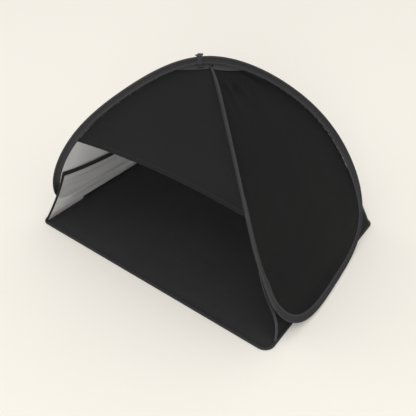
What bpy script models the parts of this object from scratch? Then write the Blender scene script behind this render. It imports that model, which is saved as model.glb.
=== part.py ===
"""Pop-up beach head shade: a small fabric shelter on one twisted spring wire.

The wire runs in a sewn sleeve as a figure of eight. It crosses itself over the middle of the
floor, and each of its two loops leans out and down to one side. Each loop holds a side panel.
A short visor fills the space between the loops at the front, and a full panel fills it at the
back. The floor sheet carries a low wall on each side, just inside the loops.

Metres, +Z up, origin on the ground at the middle of the floor. The open front faces -Y.
"""

import math
from functools import lru_cache

import bmesh
import bpy
from mathutils import Matrix, Vector

OBJECT_NAME = "beach_head_shade"

# Driving dimensions
FLOOR_WIDTH = 0.708
FLOOR_DEPTH = 0.530
FLOOR_CORNER_RADIUS = 0.025
FLOOR_THICKNESS = 0.0015
FLOOR_TAPE_WIDTH = 0.008
FLOOR_TAPE_THICKNESS = 0.003

# Cage of the smooth line of the right loop of the wire: from the crossing down the front,
# along the ground and up the rear, back to the crossing. The left loop mirrors it.
LOOP_CAGE = (
    (0.000, 0.003, 0.476),
    (0.130, -0.111, 0.386),
    (0.226, -0.187, 0.290),
    (0.284, -0.223, 0.188),
    (0.324, -0.221, 0.100),
    (0.353, -0.195, 0.038),
    (0.372, -0.149, 0.013),
    (0.376, -0.089, 0.011),
    (0.372, -0.018, 0.011),
    (0.367, 0.052, 0.010),
    (0.360, 0.119, 0.012),
    (0.348, 0.178, 0.034),
    (0.323, 0.221, 0.080),
    (0.278, 0.242, 0.150),
    (0.216, 0.232, 0.243),
    (0.130, 0.163, 0.357),
)

SLEEVE_WIDTH = 0.018
SLEEVE_THICKNESS = 0.004
SLEEVE_EDGE_ROUND = 0.0012
HEM_EDGE_ROUND = 0.0006
CLOTH_THICKNESS = 0.0012
TAPE_THICKNESS = 0.0025
WALL_TAPE_THICKNESS = 0.0020

VISOR_HEM_HEIGHT = 0.250
VISOR_HEM_WIDTH = 0.010
VISOR_HEM_RISE = 0.011
VISOR_HEM_THICKNESS = 0.0019
TIE_HEIGHT = 0.155
WALL_HEM_WIDTH = 0.013
WALL_HEM_SAG = 0.026
WALL_EDGE_WIDTH = 0.008
# Each wall's foot by side, -1 left and 1 right: how far forward it starts, and how far out it lies
WALL_FRONT_Y = {-1: 0.262, 1: 0.235}
WALL_FOOT_X = {-1: 0.340, 1: 0.349}
WALL_LEAN = 0.0030
WALL_BELLY = 0.004

# The strand that passes under the other is pinched near the crossing.
PINCH_LENGTH = 0.090
PINCH = 0.8
STRAP_DISTANCE = 0.023
STRAP_WIDTH = 0.008
STRAP_THICKNESS = 0.0015
KNOT_RADII = (0.008, 0.005, 0.0035)
KNOT_SHIFT = 0.004

# Gap between touching pieces
GAP = 0.0003
CLOTH_EDGE_GAP = 0.0010

ALONG_X = Vector((1, 0, 0))

# Heights between which the sleeve turns from between its panels to in line with one of them
TURN_HEIGHTS = (0.155, 0.050)
# Share of the loop after which its bottom counts as lying on the ground
BOTTOM_START = 0.34
# Share of the loop within which its two strands count as lying as they do at this share
CROSSING_SHARE = 0.02
# Share of the loop at which its sleeve is joined, and the share left open there
SLEEVE_JOIN = 0.27
SLEEVE_BREAK = 0.0004
# Distances along the wire from the crossing to the under strand and to the front and rear panels
CROSSING_CLEAR = 0.0045
FACE_START = 0.006
# Length of the side panel's first line of cloth
SIDE_START_LENGTH = 0.008
# Share of the loop from the last line of the side panel to the first point of its foot
FOOT_INSET = 0.02
# The back panel leaves the rear strands this high above the tie, and goes on at this share of
# the line from the tie to the floor
TIE_ROOM = 0.006
REAR_EDGE_START = 0.08
# Place of the back panel's inner points: share of its half width, and of the corner radius
BACK_INNER_SHARE = 0.1
BACK_INNER_RADII = 0.65
# Least sine of the angle between the sleeve and the cloth that an edge gap is widened for
LEAST_SLANT = 0.2
# Share of the loop between two points that are tried in a search
SEARCH_STEP = 0.0005

STATIONS = 24
PANEL_COLUMNS = 9
VISOR_COLUMNS = 11
BACK_ROWS = 6
CORNER_STEPS = 6
WALL_COLUMNS = 17
WALL_TAPE_ROWS = 7


def clear_scene():
    for thing in list(bpy.data.objects):
        bpy.data.objects.remove(thing, do_unlink=True)


def material(name, colour, roughness, metallic=0.0):
    made = bpy.data.materials.get(name) or bpy.data.materials.new(name)
    made.use_nodes = True
    shader = made.node_tree.nodes["Principled BSDF"]
    shader.inputs["Base Color"].default_value = (*colour, 1.0)
    shader.inputs["Roughness"].default_value = roughness
    shader.inputs["Metallic"].default_value = metallic
    return made


def smooth_step(low, high, value):
    share = min(max((value - low) / (high - low), 0.0), 1.0)
    return share * share * (3 - 2 * share)


def loop_point(place):
    """A point of the right loop: 0 and 1 at the crossing, one half on the ground."""
    count = len(LOOP_CAGE)
    first = LOOP_CAGE[1]
    last = LOOP_CAGE[-1]
    before = (-last[0], last[1], last[2])
    after = (-first[0], first[1], first[2])
    cage = [Vector(point) for point in (before, *LOOP_CAGE, LOOP_CAGE[0], after)]
    index = min(int(place * count), count - 1)
    u = place * count - index
    weights = ((1 - u) ** 3, 3 * u**3 - 6 * u**2 + 4, -3 * u**3 + 3 * u**2 + 3 * u + 1, u**3)
    return sum((weight * cage[index + k] for k, weight in enumerate(weights)), Vector()) / 6


def loop_tangent(place):
    step = 0.001
    low = max(place - step, 0.0)
    high = min(place + step, 1.0)
    return (loop_point(high) - loop_point(low)).normalized()


def level_place(place):
    """The place on the other strand that is joined to this one by a straight line of cloth."""
    return 1.0 - place


def across_loop(place):
    """Direction of the side panel's cloth, from the front strand to the rear one."""
    front = max(min(place, level_place(place), BOTTOM_START), CROSSING_SHARE)
    return (loop_point(1.0 - front) - loop_point(front)).normalized()


def side_normal(place):
    """Outward normal of the side panel."""
    if BOTTOM_START < place < 1.0 - BOTTOM_START:
        share = (place - BOTTOM_START) / (1.0 - 2 * BOTTOM_START)
        return side_normal(BOTTOM_START).lerp(side_normal(1.0 - BOTTOM_START), share).normalized()
    down = loop_tangent(place) * (1 if place < 0.5 else -1)
    return down.cross(across_loop(place)).normalized()


def face_normal(place):
    """Outward normal of the front or rear panel, which is straight along X."""
    return loop_tangent(place).cross(ALONG_X).normalized()


def outward(place):
    """The way the flat sleeve stands off the wire: between its two panels high up, and in
    line with the side panel alone lower down."""
    tangent = loop_tangent(place)
    in_line = tangent.cross(side_normal(place)).normalized()
    between = (side_normal(place) + face_normal(place)).normalized()
    high, low = TURN_HEIGHTS
    share = smooth_step(0.0, high - low, high - loop_point(place).z)
    mixed = between * (1 - share) + in_line * share
    return (mixed - tangent * mixed.dot(tangent)).normalized()


def corner_point(place):
    """Where the cloth ends, just inside the sleeve."""
    tilt = abs(side_normal(place).dot(outward(place)))
    inset = SLEEVE_WIDTH / 2 + (CLOTH_THICKNESS / 2 + GAP) * tilt
    return loop_point(place) - outward(place) * inset


def place_at_height(height, start=0.0):
    """The place on the front strand, or on the rear one from start 1, at a height."""
    top = start
    bottom = 0.5
    for _ in range(40):
        middle = (top + bottom) / 2
        if corner_point(middle).z > height:
            top = middle
        else:
            bottom = middle
    return top


def places(first, last, count):
    return [first + (last - first) * k / (count - 1) for k in range(count)]


def add_object(name, mesh, look):
    mesh.materials.append(look)
    made = bpy.data.objects.new(name, mesh)
    bpy.data.collections[OBJECT_NAME].objects.link(made)
    return made


def strip_mesh(name, rows):
    """A sheet from rows of points. Every row has the same number of points."""
    shape = bmesh.new()
    bmesh.ops.create_grid(shape, x_segments=len(rows[0]) - 1, y_segments=len(rows) - 1, size=1)
    shape.verts.ensure_lookup_table()
    flat = [point for row in rows for point in row]
    for vertex, point in zip(shape.verts, flat):
        vertex.co = point
    mesh = bpy.data.meshes.new(name)
    shape.to_mesh(mesh)
    shape.free()
    return mesh


def add_sheet(name, rows, thickness, look, edge_round=0.0):
    """A closed sheet of cloth or tape, half its thickness to each side of the rows."""
    made = add_object(name, strip_mesh(name, rows), look)
    shell = made.modifiers.new("thickness", "SOLIDIFY")
    shell.thickness = thickness
    shell.offset = 0
    shell.use_even_offset = False
    if edge_round:
        bevel = made.modifiers.new("edges", "BEVEL")
        bevel.width = edge_round
        bevel.segments = 1
        bevel.limit_method = "ANGLE"
        bevel.angle_limit = math.radians(50)
    made.data.shade_smooth()
    made.data.set_sharp_from_angle(angle=math.radians(40))
    return made


def mirrored(point, side):
    """The same point of the other loop: side is 1 on the right and -1 on the left."""
    return Vector((point.x * side, point.y, point.z))


def sleeve_row(place, side, pinched=False):
    middle = loop_point(place)
    reach = outward(place) * (SLEEVE_WIDTH / 2)
    outer = 1.0
    if pinched:
        distance = (middle - loop_point(0.0)).length
        outer -= PINCH * (1.0 - smooth_step(0.0, PINCH_LENGTH, distance))
    return [mirrored(middle + reach * outer, side), mirrored(middle - reach, side)]


def sleeve_rows(first, last, side, count=STATIONS, pinched=False):
    return [sleeve_row(place, side, pinched) for place in places(first, last, count)]


def place_from_crossing(distance, start=0.0):
    """The place at a distance from the crossing, on the front strand or from start 1."""
    step = SEARCH_STEP if start < 0.5 else -SEARCH_STEP
    crossing = loop_point(start)
    place = start
    while (loop_point(place) - crossing).length < distance:
        place += step
    return place


def add_main_arch_sleeve(look):
    """The strand from the left front, over the crossing, to the right rear."""
    front = sleeve_rows(SLEEVE_JOIN, 0.0, -1)
    rear = sleeve_rows(1.0, 1.0 - SLEEVE_JOIN, 1)
    rows = front + rear[1:]
    add_sheet("sleeve_left_front_to_right_rear", rows, SLEEVE_THICKNESS, look, SLEEVE_EDGE_ROUND)


def add_crossing_sleeves(look):
    """The other strand, which stops against each flank of the first one."""
    first = place_from_crossing(CROSSING_CLEAR)
    last = place_from_crossing(CROSSING_CLEAR, 1.0)
    front = sleeve_rows(first, SLEEVE_JOIN, 1, pinched=True)
    rear = sleeve_rows(last, 1.0 - SLEEVE_JOIN, -1, pinched=True)
    add_sheet("sleeve_right_front", front, SLEEVE_THICKNESS, look, SLEEVE_EDGE_ROUND)
    add_sheet("sleeve_left_rear", rear, SLEEVE_THICKNESS, look, SLEEVE_EDGE_ROUND)


def add_lower_sleeves(look):
    """The turn at the bottom of each loop, from its front corner to its rear corner."""
    for name, side in (("sleeve_left_bottom", -1), ("sleeve_right_bottom", 1)):
        first = SLEEVE_JOIN + SLEEVE_BREAK
        rows = sleeve_rows(first, 1.0 - first, side, 2 * STATIONS)
        add_sheet(name, rows, SLEEVE_THICKNESS, look, SLEEVE_EDGE_ROUND)


def edge_room(place, along):
    """How far a panel's edge stays back from the corner line, measured along the panel."""
    slant = loop_tangent(place).cross(along).length
    return CLOTH_EDGE_GAP / max(slant, LEAST_SLANT)


def side_panel_row(place):
    """A straight line of the right side panel, from its front edge to its rear edge."""
    along = across_loop(place)
    rear = level_place(place)
    first = corner_point(place) + along * edge_room(place, along)
    last = corner_point(rear) - along * edge_room(rear, along)
    return [first.lerp(last, share) for share in places(0.0, 1.0, PANEL_COLUMNS)]


@lru_cache
def side_panel_start():
    """The place of the side panel's first straight line."""
    first = 0.0
    while (corner_point(level_place(first)) - corner_point(first)).length < SIDE_START_LENGTH:
        first += SEARCH_STEP
    return first


def side_panel_foot():
    """The lower edge of the right side panel, which follows the turn of the sleeve."""
    first = BOTTOM_START + FOOT_INSET
    spots = places(first, 1.0 - first, PANEL_COLUMNS)
    return [corner_point(place) - outward(place) * CLOTH_EDGE_GAP for place in spots]


def add_side_panels(look):
    """The cloth inside each loop, from just under the crossing to the ground."""
    spots = places(side_panel_start(), BOTTOM_START, STATIONS)
    rows = [side_panel_row(place) for place in spots]
    foot = side_panel_foot()
    lowest = rows[-1]
    for share in (0.5, 1.0):
        rows.append([point.lerp(end, share) for point, end in zip(lowest, foot)])
    for name, side in (("left_side_panel", -1), ("right_side_panel", 1)):
        placed = [[mirrored(point, side) for point in row] for row in rows]
        add_sheet(name, placed, CLOTH_THICKNESS, look)


def face_row(place):
    """A straight line of the back panel, from the left loop to the right one."""
    corner = corner_point(place)
    half = corner.x - edge_room(place, ALONG_X)
    return [Vector((x, corner.y, corner.z)) for x in (-half, 0.0, half)]


def visor_point(place, across, narrower=0.0):
    """A point of the visor's surface: across is -1 at the left sleeve and 1 at the right."""
    corner = corner_point(place)
    half = corner.x - edge_room(place, ALONG_X) - narrower
    return Vector((half * across, corner.y, corner.z))


def visor_places(above_hem):
    """The place at each column where the visor is this far above the free edge of its hem,
    which rises from the two sleeves to the middle."""
    found = []
    for across in places(-1.0, 1.0, VISOR_COLUMNS):
        rise = VISOR_HEM_RISE * (1 - across * across)
        found.append((across, place_at_height(VISOR_HEM_HEIGHT + rise + above_hem)))
    return found


def add_visor(look, tape_look):
    """The short front panel and the hem along its free edge."""
    top = place_from_crossing(FACE_START)
    lowest = visor_places(VISOR_HEM_WIDTH)
    rows = []
    for share in places(0.0, 1.0, STATIONS // 2):
        rows.append([visor_point(top + (low - top) * share, across) for across, low in lowest])
    add_sheet("front_visor", rows, CLOTH_THICKNESS, look)
    hem = []
    for above in places(VISOR_HEM_WIDTH - GAP, 0.0, 3):
        hem.append([visor_point(place, across, CLOTH_EDGE_GAP) for across, place in visor_places(above)])
    add_sheet("front_visor_hem", hem, VISOR_HEM_THICKNESS, tape_look)


def rear_foot():
    """The middle of the floor's right rear corner, on top of its tape."""
    centre = FLOOR_WIDTH / 2 - FLOOR_CORNER_RADIUS
    reach = (FLOOR_CORNER_RADIUS - FLOOR_TAPE_WIDTH / 2) * math.sqrt(0.5)
    depth = FLOOR_DEPTH / 2 - FLOOR_CORNER_RADIUS
    return Vector((centre + reach, depth + reach, FLOOR_TAPE_THICKNESS + 3 * GAP))


def rear_edge_point(share):
    """The line from the rear tie down to the floor's rear corner, where wall and panel meet."""
    top = corner_point(place_at_height(TIE_HEIGHT, 1.0))
    return top.lerp(rear_foot(), share)


def add_back_panel(look):
    """One cloth from the crossing down the rear strands, then down to the floor's rear edge."""
    top = place_from_crossing(FACE_START, 1.0)
    tie = place_at_height(TIE_HEIGHT + TIE_ROOM, 1.0)
    rows = []
    for place in places(top, tie, STATIONS // 2):
        left, middle, right = face_row(place)
        near_left = left.lerp(middle, BACK_INNER_SHARE)
        near_right = right.lerp(middle, BACK_INNER_SHARE)
        rows.append([left, near_left, middle, near_right, right])
    floor_y = FLOOR_DEPTH / 2 - FLOOR_TAPE_WIDTH / 2
    for share in places(REAR_EDGE_START, 1.0, BACK_ROWS):
        edge = rear_edge_point(share)
        near = edge.x - FLOOR_CORNER_RADIUS * BACK_INNER_RADII
        middle_y = edge.y + (floor_y - rear_foot().y) * share
        line = ((-edge.x, edge.y), (-near, middle_y), (0.0, middle_y), (near, middle_y), edge.xy)
        rows.append([Vector((x, y, edge.z)) for x, y in line])
    add_sheet("back_panel", rows, CLOTH_THICKNESS, look)


def floor_outline(inset):
    """Corner arcs of the floor, each a list of points, from the right rear anticlockwise."""
    radius = FLOOR_CORNER_RADIUS - inset
    arcs = []
    for quarter in range(4):
        side = 1 if quarter in (0, 3) else -1
        face = 1 if quarter in (0, 1) else -1
        centre_x = side * (FLOOR_WIDTH / 2 - FLOOR_CORNER_RADIUS)
        centre_y = face * (FLOOR_DEPTH / 2 - FLOOR_CORNER_RADIUS)
        turn = [math.pi / 2 * (quarter + k / CORNER_STEPS) for k in range(CORNER_STEPS + 1)]
        arcs.append([(centre_x + radius * math.cos(a), centre_y + radius * math.sin(a)) for a in turn])
    return arcs


def add_flat(name, outline, thickness, look):
    """A flat piece on the ground, from a closed outline."""
    curve = bpy.data.curves.new(name + "_outline", "CURVE")
    curve.dimensions = "2D"
    curve.fill_mode = "BOTH"
    curve.extrude = thickness / 2
    spline = curve.splines.new("POLY")
    spline.points.add(len(outline) - 1)
    for point, (x, y) in zip(spline.points, outline):
        point.co = (x, y, 0, 1)
    spline.use_cyclic_u = True
    curve.materials.append(look)
    made = bpy.data.objects.new(name, curve)
    made.location.z = thickness / 2
    bpy.data.collections[OBJECT_NAME].objects.link(made)
    return made


def add_floor(look, tape_look):
    """The floor sheet, and the tape round its edge in four lengths."""
    inner = floor_outline(FLOOR_TAPE_WIDTH + GAP)
    sheet = [point for arc in inner for point in arc]
    add_flat("floor_sheet", sheet, FLOOR_THICKNESS, look)
    outer = floor_outline(0.0)
    inner = floor_outline(FLOOR_TAPE_WIDTH)
    half = CORNER_STEPS // 2
    names = ("floor_tape_rear", "floor_tape_left", "floor_tape_front", "floor_tape_right")
    for quarter, name in enumerate(names):
        following = (quarter + 1) % 4
        out_line = outer[quarter][half:] + outer[following][: half + 1]
        in_line = inner[quarter][half:] + inner[following][: half + 1]
        outline = cut_back(out_line) + cut_back(in_line)[::-1]
        add_flat(name, outline, FLOOR_TAPE_THICKNESS, tape_look)


def cut_back(line):
    """A line of points shortened by half a gap at each end."""
    points = [Vector((x, y)) for x, y in line]
    first = points[0] + (points[1] - points[0]).normalized() * GAP
    last = points[-1] + (points[-2] - points[-1]).normalized() * GAP
    return [(p.x, p.y) for p in (first, *points[1:-1], last)]


def side_panel_at(y, height):
    """The point of the right side panel at a depth and a height."""
    low = side_panel_start()
    high = BOTTOM_START
    for _ in range(30):
        place = (low + high) / 2
        front = corner_point(place)
        rear = corner_point(level_place(place))
        share = (y - front.y) / (rear.y - front.y)
        spot = front.lerp(rear, share)
        if spot.z > height:
            low = place
        else:
            high = place
    return spot


def wall_top(share):
    """The top edge of the right side wall, which sags between its two ties."""
    front = corner_point(place_at_height(TIE_HEIGHT))
    rear = corner_point(place_at_height(TIE_HEIGHT, 1.0))
    y = front.y + (rear.y - front.y) * share
    slack = 4 * share * (1 - share)
    spot = side_panel_at(y, TIE_HEIGHT - WALL_HEM_SAG * slack)
    inward = WALL_LEAN + WALL_BELLY * slack
    return spot - side_normal(place_at_height(spot.z)) * inward


def wall_foot_height(x, y):
    """Height of a wall's foot, which stands on the floor sheet or on the tape round it."""
    beyond_x = max(x - (FLOOR_WIDTH / 2 - FLOOR_CORNER_RADIUS), 0.0)
    beyond_y = max(abs(y) - (FLOOR_DEPTH / 2 - FLOOR_CORNER_RADIUS), 0.0)
    from_edge = FLOOR_CORNER_RADIUS - math.hypot(beyond_x, beyond_y)
    share = smooth_step(FLOOR_TAPE_WIDTH, FLOOR_TAPE_WIDTH * 1.5, from_edge)
    return FLOOR_TAPE_THICKNESS + (FLOOR_THICKNESS - FLOOR_TAPE_THICKNESS) * share + 3 * GAP


def wall_bottom(share, side):
    """The foot of a side wall, drawn on the right: along the floor's side to its rear corner."""
    foot = rear_foot()
    front = WALL_FRONT_Y[side]
    y = -front + (foot.y + front) * share
    turn = FLOOR_DEPTH / 2 - FLOOR_CORNER_RADIUS
    bend = max(y - turn, 0.0) / (foot.y - turn)
    x = WALL_FOOT_X[side] + (foot.x - WALL_FOOT_X[side]) * bend
    return Vector((x, y, wall_foot_height(x, y)))


def wall_line(share, side):
    """The top and bottom points of a side wall at a share of its length."""
    return mirrored(wall_top(share), side), mirrored(wall_bottom(share, side), side)


def add_side_walls(look, tape_look):
    """Each low wall, the hem on its top edge, and the tape down its front and rear edges."""
    for word, side in (("left", -1), ("right", 1)):
        length = WALL_FRONT_Y[side] + rear_foot().y
        tape = WALL_EDGE_WIDTH / length
        gap = GAP / length
        rear_end = 1.0 - 6 * gap
        rows = []
        hem = []
        for share in places(tape, rear_end - tape, WALL_COLUMNS):
            top, bottom = wall_line(share, side)
            down = (bottom - top).normalized()
            start = top + down * (WALL_HEM_WIDTH + GAP)
            rows.append([start, start.lerp(bottom, 0.5), bottom])
            hem.append([top, top + down * WALL_HEM_WIDTH])
        add_sheet(word + "_side_wall", rows, CLOTH_THICKNESS, look)
        add_sheet(word + "_side_wall_hem", hem, TAPE_THICKNESS, tape_look, HEM_EDGE_ROUND)
        front_tape = wall_line(0.0, side), wall_line(tape - 2 * gap, side)
        rear_tape = wall_line(rear_end - tape + 2 * gap, side), wall_line(rear_end, side)
        add_wall_edge(word + "_side_wall_front_tape", *front_tape, tape_look)
        add_wall_edge(word + "_side_wall_rear_tape", *rear_tape, tape_look)


def add_wall_edge(name, first, last, look):
    """Tape down one edge of a side wall, between two lines of it."""
    rows = []
    for share in places(0.0, 1.0, WALL_TAPE_ROWS):
        rows.append([first[0].lerp(first[1], share), last[0].lerp(last[1], share)])
    add_sheet(name, rows, WALL_TAPE_THICKNESS, look)


def sleeve_frame(place, side):
    """Place and turn of a piece on the sleeve: X along it, Z out of it."""
    tangent = mirrored(loop_tangent(place), side)
    out = mirrored(outward(place), side)
    across = out.cross(tangent)
    turn = Matrix((tangent, across, out)).transposed().to_4x4()
    return Matrix.Translation(mirrored(loop_point(place), side)) @ turn


def add_crossing_strap(look, knot_look):
    """The short strap over the sleeve beside the crossing, and the knot on top of it."""
    frame = sleeve_frame(place_from_crossing(STRAP_DISTANCE), -1)
    inner = SLEEVE_THICKNESS / 2 + 2 * GAP
    outer = inner + STRAP_THICKNESS
    top = SLEEVE_WIDTH / 2 + 2 * GAP
    foot = -SLEEVE_WIDTH / 2
    outline = ((-outer, foot), (-outer, top + STRAP_THICKNESS), (outer, top + STRAP_THICKNESS),
               (outer, foot), (inner, foot), (inner, top), (-inner, top), (-inner, foot))
    strap = add_flat("crossing_strap", outline, STRAP_WIDTH, look)
    stand = Matrix(((0, 0, 1, 0), (1, 0, 0, 0), (0, 1, 0, 0), (0, 0, 0, 1)))
    strap.matrix_world = frame @ stand
    knot = bmesh.new()
    bmesh.ops.create_uvsphere(knot, u_segments=16, v_segments=8, radius=1.0)
    lift = top + STRAP_THICKNESS + GAP + KNOT_RADII[2]
    scale = Matrix.Diagonal((*KNOT_RADII, 1.0))
    knot.transform(frame @ Matrix.Translation((KNOT_SHIFT, 0, lift)) @ scale)
    mesh = bpy.data.meshes.new("crossing_knot")
    knot.to_mesh(mesh)
    knot.free()
    mesh.shade_smooth()
    add_object("crossing_knot", mesh, knot_look)


def main():
    clear_scene()
    home = bpy.data.collections.new(OBJECT_NAME)
    bpy.context.scene.collection.children.link(home)
    cloth = material("black_cloth", (0.012, 0.012, 0.013), 0.75)
    wall_cloth = material("grey_lining", (0.30, 0.30, 0.31), 0.8)
    floor_cloth = material("floor_cloth", (0.010, 0.010, 0.011), 0.65)
    tape = material("edge_tape", (0.020, 0.020, 0.021), 0.7)
    knot = material("knot_cord", (0.30, 0.29, 0.26), 0.8)
    add_main_arch_sleeve(tape)
    add_crossing_sleeves(tape)
    add_lower_sleeves(tape)
    add_side_panels(cloth)
    add_visor(cloth, tape)
    add_back_panel(cloth)
    add_floor(floor_cloth, tape)
    add_side_walls(wall_cloth, tape)
    add_crossing_strap(tape, knot)


main()
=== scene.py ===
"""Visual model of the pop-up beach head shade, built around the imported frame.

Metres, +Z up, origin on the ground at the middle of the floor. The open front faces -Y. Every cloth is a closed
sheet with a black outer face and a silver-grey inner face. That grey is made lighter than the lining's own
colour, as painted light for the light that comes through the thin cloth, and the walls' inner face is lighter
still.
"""

import math

import bpy
import numpy as np
from mathutils import Matrix, Vector


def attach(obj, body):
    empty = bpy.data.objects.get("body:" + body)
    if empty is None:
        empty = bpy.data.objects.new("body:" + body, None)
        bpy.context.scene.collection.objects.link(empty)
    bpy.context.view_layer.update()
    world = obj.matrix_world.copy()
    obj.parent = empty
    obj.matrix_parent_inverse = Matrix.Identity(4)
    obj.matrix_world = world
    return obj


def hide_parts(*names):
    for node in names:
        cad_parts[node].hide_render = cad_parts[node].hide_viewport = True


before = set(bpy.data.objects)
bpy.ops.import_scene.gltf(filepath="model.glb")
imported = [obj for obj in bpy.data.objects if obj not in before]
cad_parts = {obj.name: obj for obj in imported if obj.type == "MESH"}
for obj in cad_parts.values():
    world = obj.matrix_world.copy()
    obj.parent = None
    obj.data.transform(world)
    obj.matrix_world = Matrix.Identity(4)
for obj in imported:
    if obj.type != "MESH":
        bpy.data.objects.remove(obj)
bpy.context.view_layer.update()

RANDOM = np.random.default_rng(20)

# The camera that was solved from the photograph
CAMERA_PLACE = (0.64511, -0.85195, 0.87115)
CAMERA_YAW = 0.64636
CAMERA_PITCH = 0.65821
CAMERA_LENS = 44.83
SENSOR = 36.0

# The object's own dimensions, as in the part's source
FLOOR_WIDTH = 0.708
FLOOR_DEPTH = 0.530
FLOOR_CORNER_RADIUS = 0.025
FLOOR_TAPE_WIDTH = 0.008
FLOOR_TAPE_THICKNESS = 0.003
FLOOR_TOP = 0.0017
LOOP_CAGE = np.array((
    (0.000, 0.003, 0.476),
    (0.130, -0.111, 0.386),
    (0.226, -0.187, 0.290),
    (0.284, -0.223, 0.188),
    (0.324, -0.221, 0.100),
    (0.353, -0.195, 0.038),
    (0.372, -0.149, 0.013),
    (0.376, -0.089, 0.011),
    (0.372, -0.018, 0.011),
    (0.367, 0.052, 0.010),
    (0.360, 0.119, 0.012),
    (0.348, 0.178, 0.034),
    (0.323, 0.221, 0.080),
    (0.278, 0.242, 0.150),
    (0.216, 0.232, 0.243),
    (0.130, 0.163, 0.357),
))
SLEEVE_WIDTH = 0.018
CAD_CLOTH = 0.0012
CLOTH = 0.0010
VISOR_HEM_HEIGHT = 0.250
VISOR_HEM_WIDTH = 0.010
VISOR_HEM_RISE = 0.011
TIE_HEIGHT = 0.155
WALL_HEM_WIDTH = 0.013
WALL_HEM_SAG = 0.026
WALL_EDGE_WIDTH = 0.008
WALL_FRONT_Y = {-1: 0.262, 1: 0.235}
WALL_FOOT_X = {-1: 0.340, 1: 0.349}
WALL_LEAN = 0.0030
WALL_BELLY = 0.004
WALL_FRONT_BOW = {-1: 0.008, 1: 0.016}
WALL_BOW_REACH = 0.10
STRAP_DISTANCE = 0.023
STRAP_WIDTH = 0.011
STRAP_STAND = 0.0038
STRAP_TAIL = 0.018
GAP = 0.0003
TURN_HEIGHTS = (0.155, 0.050)
BOTTOM_START = 0.34
CROSSING_SHARE = 0.02
SLEEVE_JOIN = 0.27
CROSSING_CLEAR = 0.0045
SIDE_START = 0.009
FRONT_PINCH_LENGTH = 0.130
REAR_PINCH_LENGTH = 0.300
PINCH = 0.97
PINCH_DEPTH = 0.97

BINDING_WIDTH = 0.0105
BINDING_LIFT = 0.0011
BINDING_HEIGHTS = (0.325, 0.085)
BINDING_LOW_RAMP = (0.085, 0.13)
BINDING_HIGH_RAMP = (0.26, 0.325)

ALONG_X = np.array((1.0, 0.0, 0.0))
# How far each cloth reaches into the sleeve, so that no slit shows along the seam
TUCK = 0.0012


# Lines of the wire loop


def unit(vectors):
    return vectors / np.maximum(np.linalg.norm(vectors, axis=-1, keepdims=True), 1e-12)


def smooth_step(low, high, value):
    share = np.clip((value - low) / (high - low), 0.0, 1.0)
    return share * share * (3 - 2 * share)


def loop_point(place):
    """Points of the right loop: 0 and 1 at the crossing, one half on the ground."""
    count = len(LOOP_CAGE)
    flip = np.array((-1.0, 1.0, 1.0))
    cage = np.vstack((LOOP_CAGE[-1] * flip, LOOP_CAGE, LOOP_CAGE[0], LOOP_CAGE[1] * flip))
    place = np.atleast_1d(np.asarray(place, float))
    index = np.minimum((place * count).astype(int), count - 1)
    u = place * count - index
    weights = ((1 - u) ** 3, 3 * u**3 - 6 * u**2 + 4, -3 * u**3 + 3 * u**2 + 3 * u + 1, u**3)
    return sum(w[:, None] * cage[index + k] for k, w in enumerate(weights)) / 6


def loop_tangent(place):
    step = 0.001
    place = np.atleast_1d(np.asarray(place, float))
    ahead = loop_point(np.minimum(place + step, 1.0))
    return unit(ahead - loop_point(np.maximum(place - step, 0.0)))


def side_normal_above(place):
    """Outward normal of the side panel, away from its bottom turn."""
    front = np.clip(np.minimum(place, 1.0 - place), CROSSING_SHARE, BOTTOM_START)
    across = unit(loop_point(1.0 - front) - loop_point(front))
    down = loop_tangent(place) * np.where(np.atleast_1d(place) < 0.5, 1.0, -1.0)[:, None]
    return unit(np.cross(down, across))


def side_normal(place):
    first, last = side_normal_above(np.array((BOTTOM_START, 1.0 - BOTTOM_START)))
    share = (place - BOTTOM_START) / (1.0 - 2 * BOTTOM_START)
    between = unit(first + (last - first) * np.clip(share, 0, 1)[:, None])
    inside = (place > BOTTOM_START) & (place < 1.0 - BOTTOM_START)
    return np.where(inside[:, None], between, side_normal_above(place))


PLACES = np.linspace(0.0, 1.0, 1601)
WIRE = loop_point(PLACES)
TANGENT = loop_tangent(PLACES)
SIDE_NORMAL = side_normal(PLACES)
FACE_NORMAL = unit(np.cross(TANGENT, ALONG_X))


def sleeve_outward():
    """The way the flat sleeve stands off the wire, for every place of the table."""
    in_line = unit(np.cross(TANGENT, SIDE_NORMAL))
    between = unit(SIDE_NORMAL + FACE_NORMAL)
    high, low = TURN_HEIGHTS
    share = smooth_step(0.0, high - low, high - WIRE[:, 2])[:, None]
    mixed = between * (1 - share) + in_line * share
    return unit(mixed - TANGENT * (mixed * TANGENT).sum(axis=1, keepdims=True))


OUTWARD = sleeve_outward()
TILT = np.abs((SIDE_NORMAL * OUTWARD).sum(axis=1, keepdims=True))
CORNER = WIRE - OUTWARD * (SLEEVE_WIDTH / 2 + (CAD_CLOTH / 2 + GAP) * TILT)
ARC = np.concatenate(([0.0], np.cumsum(np.linalg.norm(np.diff(WIRE, axis=0), axis=1))))


def at(table, place):
    """A table's values at any places, between its own."""
    place = np.asarray(place, float)
    if table.ndim == 1:
        return np.interp(place, PLACES, table)
    return np.stack([np.interp(place, PLACES, table[:, k]) for k in range(3)], axis=-1)


def place_at_height(height, rear=False):
    """The place on the front strand, or on the rear one, where the cloth's edge has a height."""
    middle = len(PLACES) // 2
    part = slice(middle, None) if rear else slice(0, middle)
    heights = CORNER[part, 2]
    order = slice(None) if rear else slice(None, None, -1)
    return np.interp(height, heights[order], PLACES[part][order])


def place_from_crossing(distance, rear=False):
    away = np.linalg.norm(WIRE - (WIRE[-1] if rear else WIRE[0]), axis=1)
    middle = len(PLACES) // 4
    if rear:
        return float(np.interp(distance, away[:-middle:-1], PLACES[:-middle:-1]))
    return float(np.interp(distance, away[:middle], PLACES[:middle]))


def sided(points, side):
    """The same points of the other loop: side is 1 on the right and -1 on the left."""
    turned = np.array(points, float)
    turned[..., 0] *= side
    return turned


# Meshes


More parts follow.
